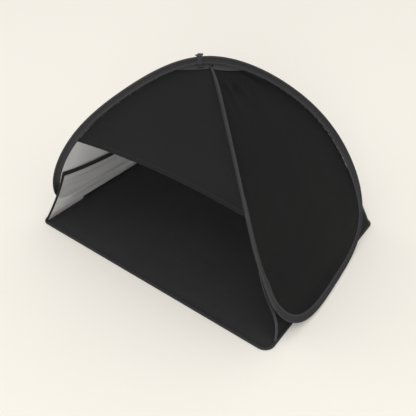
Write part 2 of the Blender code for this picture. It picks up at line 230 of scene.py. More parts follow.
def add_piece(name, mesh, looks, nodes=()):
    for look in looks:
        mesh.materials.append(look)
    made = bpy.data.objects.new(name, mesh)
    bpy.context.scene.collection.objects.link(made)
    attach(made, "root")
    if nodes:
        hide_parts(*nodes)
    return made


def new_mesh(name, vertices, faces, uv=None, parts=None, sharp=40):
    mesh = bpy.data.meshes.new(name)
    mesh.from_pydata(vertices.tolist(), [], [list(f) for f in faces])
    if uv is not None:
        layer = mesh.uv_layers.new(name="UVMap")
        index = np.zeros(len(mesh.loops), np.int32)
        mesh.loops.foreach_get("vertex_index", index)
        layer.data.foreach_set("uv", uv[index].astype(np.float32).ravel())
    if parts is not None:
        mesh.polygons.foreach_set("material_index", np.asarray(parts, np.int32))
    mesh.validate()
    mesh.shade_smooth()
    if sharp:
        mesh.set_sharp_from_angle(angle=math.radians(sharp))
    mesh.update()
    return mesh


def grid_normals(points):
    along = np.gradient(points, axis=0)
    across = np.gradient(points, axis=1)
    return unit(np.cross(across, along))


def grid_uv(points):
    """Distances in metres along the middle column and along each row."""
    steps = np.linalg.norm(np.diff(points, axis=1), axis=2)
    across = np.concatenate((np.zeros((len(points), 1)), np.cumsum(steps, axis=1)), axis=1)
    across -= across[:, points.shape[1] // 2][:, None]
    middle = points[:, points.shape[1] // 2]
    down = np.concatenate(([0.0], np.cumsum(np.linalg.norm(np.diff(middle, axis=0), axis=1))))
    return np.dstack((across, np.broadcast_to(down[:, None], across.shape)))


def sheet_mesh(name, points, normals, thickness, two_faced=True):
    """A closed sheet round a grid of points. Its outer face looks along the normals."""
    rows, columns = points.shape[:2]
    count = rows * columns
    vertices = np.concatenate((points + normals * thickness / 2, points - normals * thickness / 2))
    vertices = vertices.reshape(-1, 3)
    uv = np.tile(grid_uv(points).reshape(-1, 2), (2, 1))
    index = np.arange(count).reshape(rows, columns)
    a, b = index[:-1, :-1], index[:-1, 1:]
    c, d = index[1:, 1:], index[1:, :-1]
    outer = np.stack((a, b, c, d), axis=-1).reshape(-1, 4)
    inner = outer[:, ::-1] + count
    rim = np.concatenate((index[0], index[1:, -1], index[-1, -2::-1], index[-2:0:-1, 0]))
    following = np.roll(rim, -1)
    edge = np.stack((following, rim, rim + count, following + count), axis=-1)
    facing = np.cross(points[0, 1] - points[0, 0], points[1, 0] - points[0, 0]) @ normals[0, 0]
    faces = np.concatenate((outer, inner, edge))
    if facing < 0:
        faces = faces[:, ::-1]
    parts = np.zeros(len(faces), int)
    if two_faced:
        parts[len(outer):2 * len(outer)] = 1
    return new_mesh(name, vertices, faces, uv, parts)


def swept_mesh(name, middle, out, across, profile, parts, closed=False, ripple=None):
    """A closed profile of (out, across) points carried along a line."""
    stations, count = len(middle), len(profile)
    shape = np.broadcast_to(profile, (stations, count, 2)).copy()
    if ripple is not None:
        shape += ripple
    vertices = middle[:, None] + out[:, None] * shape[..., :1] + across[:, None] * shape[..., 1:]
    run = np.concatenate(([0.0], np.cumsum(np.linalg.norm(np.diff(middle, axis=0), axis=1))))
    around = np.concatenate(([0.0], np.cumsum(np.linalg.norm(np.diff(profile, axis=0), axis=1))))
    uv = np.dstack(np.broadcast_arrays(run[:, None], around[None, :])).reshape(-1, 2)
    index = np.arange(stations * count).reshape(stations, count)
    nxt = np.roll(index, -1, axis=1)
    faces = np.stack((index[:-1], nxt[:-1], nxt[1:], index[1:]), axis=-1).reshape(-1, 4)
    parts = np.asarray(parts)
    kinds = np.broadcast_to(parts, (stations - 1, count)).ravel()
    listed = faces.tolist()
    if closed:
        wrap = np.stack((index[-1], nxt[-1], nxt[0], index[0]), axis=-1)
        listed += wrap.tolist()
        kinds = np.concatenate((kinds, np.broadcast_to(parts, (1, count)).ravel()))
    else:
        listed += [index[0, ::-1].tolist(), index[-1].tolist()]
        kinds = np.concatenate((kinds, (0, 0)))
    turn = np.cross(out[0], across[0]) @ (middle[1] - middle[0])
    area = np.sum(profile[:, 0] * np.roll(profile[:, 1], -1) - np.roll(profile[:, 0], -1) * profile[:, 1])
    if turn * area < 0:
        listed = [f[::-1] for f in listed]
    return new_mesh(name, vertices.reshape(-1, 3), listed, uv, kinds)


STITCH_LENGTH = 0.0027
STITCH_PITCH = 0.0040
STITCH_RADIUS = 0.00032


def stitches(lines):
    """Small sewn stitches, slightly sunk, along lines of (points, normals)."""
    centres, ways, ups = [], [], []
    for points, normals in lines:
        steps = np.linalg.norm(np.diff(points, axis=0), axis=1)
        run = np.concatenate(([0.0], np.cumsum(steps)))
        spots = np.arange(STITCH_PITCH / 2, run[-1], STITCH_PITCH)
        both = [np.stack([np.interp(s, run, points[:, k]) for k in range(3)], axis=-1)
                for s in (spots - STITCH_LENGTH / 2, spots + STITCH_LENGTH / 2)]
        up = unit(np.stack([np.interp(spots, run, normals[:, k]) for k in range(3)], axis=-1))
        centres.append(both[0] + up * STITCH_RADIUS * 0.3)
        ways.append(both[1] - both[0])
        ups.append(up)
    centres, ways, ups = (np.concatenate(x) for x in (centres, ways, ups))
    side = unit(np.cross(ways, ups))
    ring = np.arange(6) * math.pi / 3
    shape = []
    for along, size in ((0.14, 0.8), (0.5, 1.0), (0.86, 0.8)):
        for a in ring:
            shape.append((along, math.cos(a) * size, math.sin(a) * size))
    shape += [(0.0, 0.0, -0.6), (1.0, 0.0, -0.6)]
    shape = np.array(shape)
    vertices = (centres[:, None] + ways[:, None] * shape[None, :, :1]
                + side[:, None] * shape[None, :, 1:2] * STITCH_RADIUS
                + ups[:, None] * shape[None, :, 2:] * STITCH_RADIUS)
    faces = []
    for k in range(6):
        n = (k + 1) % 6
        faces += [(k, n, 6 + n, 6 + k), (6 + k, 6 + n, 12 + n, 12 + k)]
        faces += [(18, n, k), (19, 12 + k, 12 + n)]
    count = len(shape)
    every = [tuple(i + count * s for i in f) for s in range(len(centres)) for f in faces]
    return vertices.reshape(-1, 3), every


def add_stitches(name, lines, look):
    vertices, faces = stitches(lines)
    return add_piece(name, new_mesh(name, vertices, faces, sharp=0), [look])


def waves(seed, *coordinates):
    """A smooth sum of sines in metres, between about -1 and 1, the same in each run."""
    draw = np.random.default_rng(seed)
    total = 0.0
    for _ in range(5):
        phase = draw.uniform(0, 2 * math.pi)
        turn = sum(c * draw.normal() for c in coordinates)
        total = total + np.sin(turn + phase)
    return total / 2.6


# Materials

# Painted shade: a black strip along the foot of a wall, where it meets the floor: from and to this depth, and its
# height there
FOOT_SHADE_Y = (-0.130, 0.090)
FOOT_SHADE_TOP = (0.0115, 0.0080)
FOOT_SHADE_COLOUR = (0.010, 0.010, 0.011)


class Nodes:
    """Short words for building a shader."""

    def __init__(self, name):
        self.material = bpy.data.materials.new(name)
        self.material.use_nodes = True
        self.tree = self.material.node_tree
        self.shader = self.tree.nodes["Principled BSDF"]

    def add(self, kind, links=(), **values):
        node = self.tree.nodes.new(kind)
        for key, value in values.items():
            setattr(node, key, value)
        for key, value in dict(links).items():
            if isinstance(value, bpy.types.NodeSocket):
                self.tree.links.new(value, node.inputs[key])
            else:
                node.inputs[key].default_value = value
        return node

    def math(self, operation, a, b=0.0, clamp=False):
        return self.add("ShaderNodeMath", {0: a, 1: b}, operation=operation, use_clamp=clamp).outputs[0]

    def noise(self, vector, scale, detail=3.0, roughness=0.55):
        links = {"Vector": vector, "Scale": scale, "Detail": detail, "Roughness": roughness}
        return self.add("ShaderNodeTexNoise", links).outputs["Fac"]

    def bands(self, vector, period, direction="X", turn=0.0):
        """Bands with a period in metres."""
        links = {"Vector": vector, "Scale": math.pi / 10 / period, "Phase Offset": turn}
        node = self.add("ShaderNodeTexWave", links, wave_type="BANDS", bands_direction=direction)
        return node.outputs["Fac"]

    def mix(self, share, first, second):
        node = self.add("ShaderNodeMix", {"Factor": share}, data_type="RGBA")
        for socket, value in ((node.inputs[6], first), (node.inputs[7], second)):
            if isinstance(value, bpy.types.NodeSocket):
                self.tree.links.new(value, socket)
            else:
                socket.default_value = (*value, 1.0)
        return node.outputs[2]

    def span(self, value, low, high):
        """A value from 0 to 1 brought between low and high."""
        links = {"Value": value, "To Min": low, "To Max": high}
        return self.add("ShaderNodeMapRange", links).outputs["Result"]

    def put(self, name, value):
        if isinstance(value, bpy.types.NodeSocket):
            self.tree.links.new(value, self.shader.inputs[name])
        else:
            self.shader.inputs[name].default_value = value

    def bump(self, heights):
        """Bumps from (height, distance in metres), the first one lowest."""
        normal = None
        for height, distance in heights:
            links = {"Height": height, "Distance": distance, "Strength": 1.0}
            if normal is not None:
                links["Normal"] = normal
            normal = self.add("ShaderNodeBump", links).outputs["Normal"]
        self.tree.links.new(normal, self.shader.inputs["Normal"])


def painted_foot_shade(n, place):
    """One in the painted shade strip along a wall's foot, which is highest in front, and 0 above it."""
    axes = n.add("ShaderNodeSeparateXYZ", {"Vector": place}).outputs
    first, last = FOOT_SHADE_Y
    links = {"Value": axes["Y"], "From Min": first, "From Max": last,
             "To Min": FOOT_SHADE_TOP[0], "To Max": FOOT_SHADE_TOP[1]}
    top = n.add("ShaderNodeMapRange", links).outputs["Result"]
    below = n.math("LESS_THAN", axes["Z"], top)
    return n.math("MULTIPLY", below, n.math("GREATER_THAN", axes["Y"], first))


def woven(name, colour, dusty, roughness, pitch, depth, sheen=0.0, shine=0.35, diagonal=False,
          crumple=0.0004, alpha=1.0, foot=False):
    """Woven cloth or tape: threads two ways, slow changes of shade and a little dust."""
    n = Nodes(name)
    uv = n.add("ShaderNodeUVMap", uv_map="UVMap").outputs["UV"]
    place = n.add("ShaderNodeTexCoord").outputs["Object"]
    warp = n.bands(uv, pitch, "DIAGONAL" if diagonal else "X")
    weft = n.bands(uv, pitch, "Y")
    threads = n.math("MULTIPLY", warp, weft)
    slow = n.noise(place, 7.0, 2.0)
    fine = n.noise(place, 160.0, 3.0)
    speck = n.noise(place, 900.0, 2.0)
    share = n.math("MULTIPLY", n.span(slow, -0.25, 1.0), n.span(fine, 0.3, 1.0), clamp=True)
    plain = n.mix(share, colour, dusty)
    dark = tuple(c * 0.55 for c in colour)
    shade = n.mix(n.span(threads, 0.75, 1.0), dark, plain)
    # With foot, the strip along the wall's foot is painted black as shade and made opaque.
    if foot:
        black = painted_foot_shade(n, place)
        shade = n.mix(black, shade, FOOT_SHADE_COLOUR)
        alpha = n.math("MAXIMUM", black, alpha)
    n.put("Base Color", shade)
    n.put("Roughness", n.span(n.math("ADD", fine, speck), roughness - 0.12, roughness + 0.1))
    n.put("Specular IOR Level", shine)
    if sheen:
        n.put("Sheen Weight", sheen)
        n.put("Sheen Roughness", 0.4)
    n.put("Alpha", alpha)
    n.bump(((slow, crumple * 8), (fine, crumple), (threads, depth)))
    return n.material


def thread(name, colour):
    n = Nodes(name)
    place = n.add("ShaderNodeTexCoord").outputs["Object"]
    twist = n.noise(place, 2500.0, 1.0)
    n.put("Base Color", n.mix(twist, colour, tuple(c * 1.6 for c in colour)))
    n.put("Roughness", n.span(twist, 0.45, 0.65))
    n.bump(((twist, 0.0001),))
    return n.material


def stage_look(colour):
    n = Nodes("stage_paper")
    place = n.add("ShaderNodeTexCoord").outputs["Object"]
    grain = n.noise(place, 40.0, 2.0)
    n.put("Base Color", n.mix(grain, colour, tuple(c * 0.995 for c in colour)))
    n.put("Roughness", 0.9)
    n.put("Specular IOR Level", 0.05)
    return n.material


BLACK_OUTER = woven("black_cloth_outer", (0.0100, 0.0100, 0.0106), (0.0152, 0.0151, 0.0152),
                    0.66, 0.0008, 0.00006, shine=0.13)
# Painted shade: a darker copy of the black outer cloth for the side panels, which face away from the light.
SHADED_SIDE_OUTER = woven("shaded_side_cloth_outer", (0.0062, 0.0062, 0.0066), (0.0100, 0.0099, 0.0100),
                   0.66, 0.0008, 0.00006, shine=0.11)
# Partly painted light: the silver-grey lining's own colour, made lighter to stand in for light that comes through
# the thin cloth into the dim inside.
LIT_GREY_LINING = woven("grey_lining", (0.66, 0.66, 0.665), (0.74, 0.74, 0.735), 0.6, 0.0008,
                    0.00008, shine=0.3)
FLOOR_BLACK = woven("floor_black", (0.0310, 0.0310, 0.0318), (0.0420, 0.0418, 0.0422), 0.70,
                    0.0009, 0.00007, shine=0.06, crumple=0.0006)
# foot=True paints a black strip of shade along the wall's foot on the three wall cloths.
WALL_OUTER = woven("wall_outer", (0.008, 0.008, 0.009), (0.012, 0.012, 0.012), 0.6, 0.0008,
                   0.00005, shine=0.12, alpha=0.63, foot=True)
DENSE_WALL_OUTER = woven("dense_wall_outer", (0.008, 0.008, 0.009), (0.012, 0.012, 0.012), 0.6,
                         0.0008, 0.00005, shine=0.12, alpha=0.97, foot=True)
# Partly painted light: the near-white inner face of the thin wall cloth stands in for light coming through it,
# while its alpha lets some real light through.
LIT_WALL_INNER = woven("wall_inner_painted_light", (0.86, 0.86, 0.86), (0.92, 0.92, 0.915), 0.6, 0.0008,
                   0.00005, shine=0.3, alpha=0.53, foot=True)
SLEEVE_WEB = woven("sleeve_webbing", (0.020, 0.020, 0.021), (0.045, 0.045, 0.047), 0.7, 0.0016,
                   0.00030, shine=0.3, diagonal=True)
# Painted shade: darker copies of the sleeve webbing and of the lighter sleeve tape, for the bottom sleeves and
# the side panels' front-edge bindings, which lie in shade.
SHADED_LOW_WEB = woven("shaded_low_sleeve_webbing", (0.0152, 0.0152, 0.0160), (0.034, 0.034, 0.0355), 0.7,
                0.0016, 0.00030, shine=0.3, diagonal=True)
SHADED_LOW_BINDING = woven("shaded_low_binding_tape", (0.020, 0.020, 0.0215), (0.028, 0.028, 0.0295), 0.55,
                    0.0010, 0.00012, shine=0.3)
# Real binding tape on the floor and the walls. On the sleeves, its lighter colour on the seam band and the outer
# edge is partly a painted highlight.
BINDING_AND_EDGE_HIGHLIGHT = woven("binding_tape_and_edge_highlight", (0.027, 0.027, 0.029), (0.037, 0.037, 0.039), 0.55, 0.0010,
                0.00012, shine=0.3)
# Painted shade: a darker copy of the wall tape for its faces that look into the tent.
SHADED_INSIDE_TAPE = woven("shaded_inside_tape", (0.018, 0.018, 0.019), (0.027, 0.027, 0.028), 0.6, 0.0010,
                    0.00012, shine=0.3)
WEBBING = woven("black_webbing", (0.015, 0.015, 0.016), (0.030, 0.030, 0.031), 0.7, 0.0014,
                0.00025, shine=0.3, diagonal=True)
PALE_TAPE = woven("pale_edge_tape", (0.033, 0.034, 0.039), (0.047, 0.048, 0.053), 0.55, 0.0010,
                  0.00012, shine=0.4)
# Painted highlight: a lighter cloth for the top of the crown, which faces up and catches the light.
CROWN_HIGHLIGHT_CLOTH = woven("crown_highlight_cloth", (0.034, 0.034, 0.036), (0.050, 0.050, 0.050), 0.6,
                    0.0009, 0.00008, shine=0.35)
STRAP_LOOK = woven("strap_webbing", (0.021, 0.022, 0.030), (0.034, 0.036, 0.046), 0.6, 0.0012,
                   0.00020, shine=0.35, diagonal=True)
THREAD = thread("black_thread", (0.022, 0.022, 0.023))
PALE_THREAD = thread("grey_thread", (0.040, 0.040, 0.042))
KNOT_LOOK = woven("knot_cord", (0.062, 0.059, 0.051), (0.095, 0.091, 0.080), 0.75, 0.0009, 0.00025,
                  shine=0.25, diagonal=True)


# Side panels


def near_edges(count, power=1.6):
    """Shares from 0 to 1 that lie closer together near both ends."""
    t = np.linspace(-1, 1, count)
    return 0.5 + 0.5 * np.sign(t) * (1 - (1 - np.abs(t)) ** power)


def pucker(distance, run, seed):
    """Small gathers beside a sewn edge, by the distance from it and along it."""
    beat = np.sin(run * 2 * math.pi / 0.017 + 1.5 * waves(seed, run * 60))
    return 0.00045 * beat * np.exp(-distance / 0.010) * smooth_step(0.0, 0.003, distance)


def side_panel_grid():
    """The right side panel's middle surface, and its distances from its edges."""
    first = place_from_crossing(SIDE_START)
    places = np.linspace(first, BOTTOM_START, 190)
    shares = near_edges(64)
    front, rear = at(CORNER, places), at(CORNER, 1.0 - places)
    along = unit(rear - front)
    front, rear = front - along * TUCK, rear + along * TUCK
    points = front[:, None] * (1 - shares)[None, :, None] + rear[:, None] * shares[None, :, None]
    foot_first = BOTTOM_START + 0.02
    spots = foot_first + (1.0 - 2 * foot_first) * shares
    foot = at(CORNER, spots) + at(OUTWARD, spots) * TUCK
    steps = np.linspace(0, 1, 22)[1:]
    lower = points[-1][None] * (1 - steps)[:, None, None] + foot[None] * steps[:, None, None]
    points = np.concatenate((points, lower))
    width = np.linalg.norm(points[:, -1] - points[:, 0], axis=1)[:, None]
    front_gap = shares[None, :] * width
    rear_gap = (1 - shares)[None, :] * width
    return points, front_gap, rear_gap


def panel_folds(points, front_gap, rear_gap, seed):
    """How far a taut cloth stands in or out: puckers, slow swells and folds from the crossing."""
    run = np.linalg.norm(points - points[0, 0], axis=2)
    moved = pucker(front_gap, run, seed) + pucker(rear_gap, run, seed + 1)
    inner = smooth_step(0.0, 0.05, np.minimum(front_gap, rear_gap))
    moved = moved + 0.0016 * inner * waves(seed + 2, points[..., 1] * 9, points[..., 2] * 7)
    crossing = loop_point(0.0)[0]
    away = np.linalg.norm(points - crossing, axis=2)
    heading = np.arctan2(points[..., 1] - crossing[1], crossing[2] - points[..., 2] + 0.02)
    fan = waves(seed + 3, heading * 9, away * 9)
    fade = smooth_step(0.05, 0.09, away) * np.exp(-((away - 0.06) / 0.075) ** 2)
    moved = moved * smooth_step(0.02, 0.08, away)
    side = smooth_step(0.0, 0.012, np.minimum(front_gap, rear_gap))
    crumpled = waves(seed + 4, heading * 15, away * 45)
    return moved + (0.0036 * fan + 0.0026 * crumpled) * fade * side


def add_side_panels():
    points, front_gap, rear_gap = side_panel_grid()
    normals = grid_normals(points)
    if normals[60, 30] @ np.array((1.0, 0.0, 0.3)) < 0:
        normals = -normals
    made = {}
    for word, side, seed in (("left", -1, 11), ("right", 1, 31)):
        moved = panel_folds(points, front_gap, rear_gap, seed)
        placed = sided(points + normals * moved[..., None], side)
        facing = sided(normals, side)
        name = word + "_side_panel"
        mesh = sheet_mesh(name + "_cloth", placed, facing, CLOTH)
        made[word] = add_piece(name + "_cloth", mesh, [SHADED_SIDE_OUTER, LIT_GREY_LINING], [name])
    return made


def add_panel_bindings():
    """The tape that folds over each side panel's front edge, widest at half the height."""
    high, low = (place_at_height(height) for height in BINDING_HEIGHTS)
    places = np.linspace(high, low, 110)
    front, rear = at(CORNER, places), at(CORNER, 1.0 - places)
    along = unit(rear - front)
    height = front[:, 2]
    wide = smooth_step(*BINDING_LOW_RAMP, height) * (1 - smooth_step(*BINDING_HIGH_RAMP, height))
    reach = (TUCK + BINDING_WIDTH * wide)[:, None] * np.linspace(0, 1, 8)[None, :] - TUCK
    points = front[:, None] + along[:, None] * reach[..., None]
    normals = grid_normals(points)
    normals *= np.sign(normals[40, 4] @ np.array((1.0, 0.0, 0.3)))
    points = points + normals * BINDING_LIFT
    made = {}
    for word, side in (("left", -1), ("right", 1)):
        label = word + "_panel_binding"
        mesh = sheet_mesh(label, sided(points, side), sided(normals, side), 0.0007)
        # The binding takes the darker copy of the sleeve tape, a painted shade.
        made[word] = add_piece(label, mesh, [SHADED_LOW_BINDING, SHADED_LOW_BINDING], [word + "_side_panel"])
    return made


# Visor and back panel


def face_grid(places, shares):
    """Points of the visor or the back panel: shares run from -1, left, to 1, right. Places are
    given by row, or by row and column."""
    places = places[:, None] if places.ndim == 1 else places
    corner = at(CORNER, places + 0.0 * shares)
    x = (corner[..., 0] + TUCK) * shares
    return np.dstack((x, corner[..., 1], corner[..., 2]))


def visor_places(above_hem, shares):
    """Places on the line that lies this far above the visor's free edge, by column."""
    rise = VISOR_HEM_RISE * (1 - shares**2)
    return place_at_height(VISOR_HEM_HEIGHT + rise + above_hem)


def face_folds(points, seed, swell=0.0016):
    """Puckers, slow swells and folds for the visor or the back panel."""
    half = points[:, -1, 0][:, None]
    gap = np.minimum(half - points[..., 0], half + points[..., 0])
    run = np.linalg.norm(points - points[0, points.shape[1] // 2], axis=2)
    moved = pucker(gap * 0.8, run, seed)
    inner = smooth_step(0.0, 0.06, gap)
    moved = moved + swell * inner * waves(seed + 2, points[..., 0] * 8, points[..., 2] * 9)
    crossing = loop_point(0.0)[0]
    away = np.linalg.norm(points - crossing, axis=2)
    heading = np.arctan2(points[..., 0], crossing[2] - points[..., 2] + 0.01)
    fan = waves(seed + 3, heading * 7, away * 9)
    fade = smooth_step(0.04, 0.08, away) * np.exp(-((away - 0.05) / 0.06) ** 2)
    moved = moved * smooth_step(0.02, 0.08, away)
    return moved + 0.0008 * fan * fade * smooth_step(0.0, 0.012, gap)


def add_visor():
    top = place_from_crossing(0.004)
    shares = 2 * near_edges(120, 1.4) - 1
    hem_top = visor_places(VISOR_HEM_WIDTH, shares)
    hem_foot = visor_places(0.0, shares)
    down = np.linspace(0, 1, 110)[:, None]
    points = face_grid(top + (hem_top + 0.002 - top) * down, shares)
    normals = grid_normals(points)
    normals *= np.sign(normals[50, 60] @ np.array((0.0, -1.0, 0.5)))
    free = smooth_step(0.0, 0.03, points[..., 2] - points[-1, :, 2])
    moved = face_folds(points, 51) * (0.25 + 0.75 * free)
    placed = points + normals * moved[..., None]
    visor = add_piece("front_visor_cloth", sheet_mesh("front_visor_cloth", placed, normals, CLOTH),
                      [BLACK_OUTER, LIT_GREY_LINING], ["front_visor"])
    hem_points = face_grid(hem_top + (hem_foot - hem_top) * np.linspace(0, 1, 8)[:, None], shares)
    hem_normals = grid_normals(hem_points)
    hem_normals *= np.sign(hem_normals[4, 60] @ np.array((0.0, -1.0, 0.5)))
    wave = 0.0004 * waves(57, hem_points[..., 0] * 40) * np.linspace(0, 1, 8)[:, None]
    hem_points = hem_points + hem_normals * wave[..., None]
    hem = add_piece("front_visor_hem_fold", sheet_mesh("front_visor_hem_fold", hem_points, hem_normals,
                    0.0021), [BLACK_OUTER, LIT_GREY_LINING], ["front_visor_hem"])
    line = hem_points[1]
    sewn = [(line + hem_normals[1] * 0.00105, hem_normals[1]), (line - hem_normals[1] * 0.00105, -hem_normals[1])]
    seam = add_stitches("front_visor_hem_stitches", sewn, THREAD)
    return visor, hem, seam


def rear_foot():
    centre = FLOOR_WIDTH / 2 - FLOOR_CORNER_RADIUS
    reach = (FLOOR_CORNER_RADIUS - FLOOR_TAPE_WIDTH / 2) * math.sqrt(0.5)
    depth = FLOOR_DEPTH / 2 - FLOOR_CORNER_RADIUS
    return np.array((centre + reach, depth + reach, FLOOR_TAPE_THICKNESS))


def rear_edge_points(shares):
    top = at(CORNER, place_at_height(TIE_HEIGHT, rear=True))
    return top + (rear_foot() - top) * np.asarray(shares)[:, None]


def back_panel_grid():
    """One cloth from the crossing down the rear strands, then down to the floor's rear edge."""
    top = place_from_crossing(0.004, rear=True)
    tie = place_at_height(TIE_HEIGHT, rear=True)
    shares = 2 * near_edges(120, 1.4) - 1
    upper = face_grid(np.linspace(top, tie, 100), shares)
    floor_y = FLOOR_DEPTH / 2 - FLOOR_TAPE_WIDTH / 2
    down = np.linspace(0, 1, 60)[1:]
    edge = rear_edge_points(down)
    x = edge[:, 0][:, None] * shares[None, :]
    inset = edge[:, 0][:, None] - np.abs(x)
    bend = smooth_step(0.0, 1.0, inset / (FLOOR_CORNER_RADIUS * 1.3))
    y = edge[:, 1][:, None] + (floor_y - rear_foot()[1]) * down[:, None] * bend
    z = np.broadcast_to(edge[:, 2][:, None], x.shape)
    return np.concatenate((upper, np.dstack((x, y, z))))


def add_back_panel():
    points = back_panel_grid()
    normals = grid_normals(points)
    normals *= np.sign(normals[50, 60] @ np.array((0.0, 1.0, 0.5)))
    for _ in range(6):
        normals[1:-1] = unit(normals[:-2] + 2 * normals[1:-1] + normals[2:])
    low = 1 - smooth_step(0.05, 0.2, points[..., 2])
    held = smooth_step(0.0, 0.04, points[..., 2])
    moved = face_folds(points, 71, swell=0.0022)
    hang = waves(77, points[..., 0] * 26, points[..., 2] * 5)
    moved = (moved + 0.0014 * low * hang) * held
    placed = points + normals * moved[..., None]
    return add_piece("back_panel_cloth", sheet_mesh("back_panel_cloth", placed, normals, CLOTH),
                     [BLACK_OUTER, LIT_GREY_LINING], ["back_panel"])


# Sleeves of the wire

# Half of the sleeve's profile: out and half thickness in millimetres, and the kind: w the webbing, b the binding
# beside the panel seam, in a lighter tape that is partly a painted highlight, e the outer edge, in the same
# lighter tape as a painted highlight.
SIDE_OF_SLEEVE = (
    (-9.0, 0.5, "b"), (-8.7, 1.15, "b"), (-8.1, 1.50, "b"), (-6.2, 1.60, "b"), (-4.5, 1.50, "b"),
    (-4.0, 1.15, "w"), (-2.6, 0.95, "w"), (0.0, 0.95, "w"), (1.8, 1.10, "w"), (2.9, 1.60, "w"),
    (3.8, 2.15, "w"), (4.8, 2.55, "w"), (5.9, 2.70, "w"), (7.0, 2.45, "e"), (7.9, 1.85, "e"),
    (8.5, 1.10, "e"), (8.8, 0.35, "e"),
)


def sleeve_profile():
    near = [(o * 0.001, t * 0.001) for o, t, _ in SIDE_OF_SLEEVE]
    far = [(o, -t) for o, t in near[::-1]]
    kinds = [{"w": 0, "b": 1, "e": 1}[k] for _, _, k in SIDE_OF_SLEEVE]
    parts = kinds[:-1] + [1] + kinds[:-1][::-1] + [1]
    return np.array(near + far), parts


def sleeve_line(first, last, side, step=0.0035):
    """Places, middle line, outward and across directions of a stretch of sleeve."""
    length = abs(at(ARC, last) - at(ARC, first))
    places = np.linspace(first, last, max(int(length / step), 8))
    middle = sided(at(WIRE, places), side)
    out = sided(unit(at(OUTWARD, places)), side)
    tangent = unit(np.gradient(middle, axis=0))
    return places, middle, out, unit(np.cross(out, tangent))


def pinch_shares(middle, pinch_length):
    """How far the sleeve is pressed flat, up to this far from the crossing."""
    if not pinch_length:
        return np.zeros(len(middle))
    away = np.linalg.norm(middle - loop_point(0.0)[0], axis=1)
    return PINCH * (1.0 - smooth_step(0.0, pinch_length, away))


def sleeve_ripple(middle, profile, seed, pinch_length):
    """Slight gathers in the sleeve's cloth, and the pinch beside the crossing."""
    run = np.concatenate(([0.0], np.cumsum(np.linalg.norm(np.diff(middle, axis=0), axis=1))))
    ripple = np.zeros((len(middle), len(profile), 2))
    loose = np.exp(-((profile[:, 0] - 0.0) / 0.0035) ** 2)
    beat = waves(seed, run * 420) * 0.6 + waves(seed + 1, run * 900) * 0.4
    ripple[..., 1] = 0.00035 * loose[None, :] * beat[:, None]
    gather = waves(seed + 2, run * 650)
    ripple[..., 1] += np.sign(profile[:, 1])[None, :] * 0.00015 * gather[:, None]
    squeeze = pinch_shares(middle, pinch_length)[:, None]
    foot = -SLEEVE_WIDTH / 2
    ripple[..., 0] -= squeeze * (profile[:, 0] - foot)[None, :] * PINCH_DEPTH
    return ripple


def sewn_lines(middle, out, across, squeeze):
    """The two seams on each flat side of the sleeve."""
    lines = []
    foot = -SLEEVE_WIDTH / 2
    for o, t in ((-0.0062, 0.00160), (0.0014, 0.00108)):
        reach = o - squeeze * (o - foot) * PINCH_DEPTH
        for way in (1, -1):
            points = middle + out * reach[:, None] + across * (way * t)
            lines.append((points, across * way))
    return lines


def band_parts(places, middle, across, parts, side):
    """Each face's material. The pale band, a lighter tape that is partly a painted highlight, is left off the
    side that has no panel sewn to it.
    """
    turned = sided(at(SIDE_NORMAL, places) - at(FACE_NORMAL, places), side)
    sign = np.sign((across * turned).sum(axis=1))[:-1]
    half = len(SIDE_OF_SLEEVE)
    way = np.where(np.arange(2 * half) < half, 1, -1)
    free_below = np.where(places < 0.5, VISOR_HEM_HEIGHT, TIE_HEIGHT)
    bare = (middle[:, 2] < free_below)[:-1]
    kinds = np.tile(parts, (len(places) - 1, 1))
    kinds[bare[:, None] & (sign[:, None] * way[None, :] < 0)] = 0
    return kinds


def add_sleeve(name, stretches, seed, node, pinch_length=0.0, looks=(SLEEVE_WEB, BINDING_AND_EDGE_HIGHLIGHT)):
    """A stretch of sleeve from (first place, last place, side), and its seams."""
    lines = [sleeve_line(*stretch) for stretch in stretches]
    middle = np.concatenate([line[1][(1 if k else 0):] for k, line in enumerate(lines)])
    out = np.concatenate([line[2][(1 if k else 0):] for k, line in enumerate(lines)])
    for _ in range(2):
        out[1:-1] = unit(out[:-2] + out[1:-1] * 2 + out[2:])
    tangent = unit(np.gradient(middle, axis=0))
    out = unit(out - tangent * (out * tangent).sum(axis=1, keepdims=True))
    across = unit(np.cross(out, tangent))
    profile, parts = sleeve_profile()
    ripple = sleeve_ripple(middle, profile, seed, pinch_length)
    places = np.concatenate([line[0][(1 if k else 0):] for k, line in enumerate(lines)])
    sides = np.concatenate([np.full(len(line[0]) - (1 if k else 0), stretches[k][2])
                            for k, line in enumerate(lines)])
    kinds = band_parts(places, middle, across, parts, sides)
    mesh = swept_mesh(name, middle, out, across, profile, kinds, ripple=ripple)
    add_piece(name, mesh, list(looks), [node])
    return sewn_lines(middle, out, across, pinch_shares(middle, pinch_length))


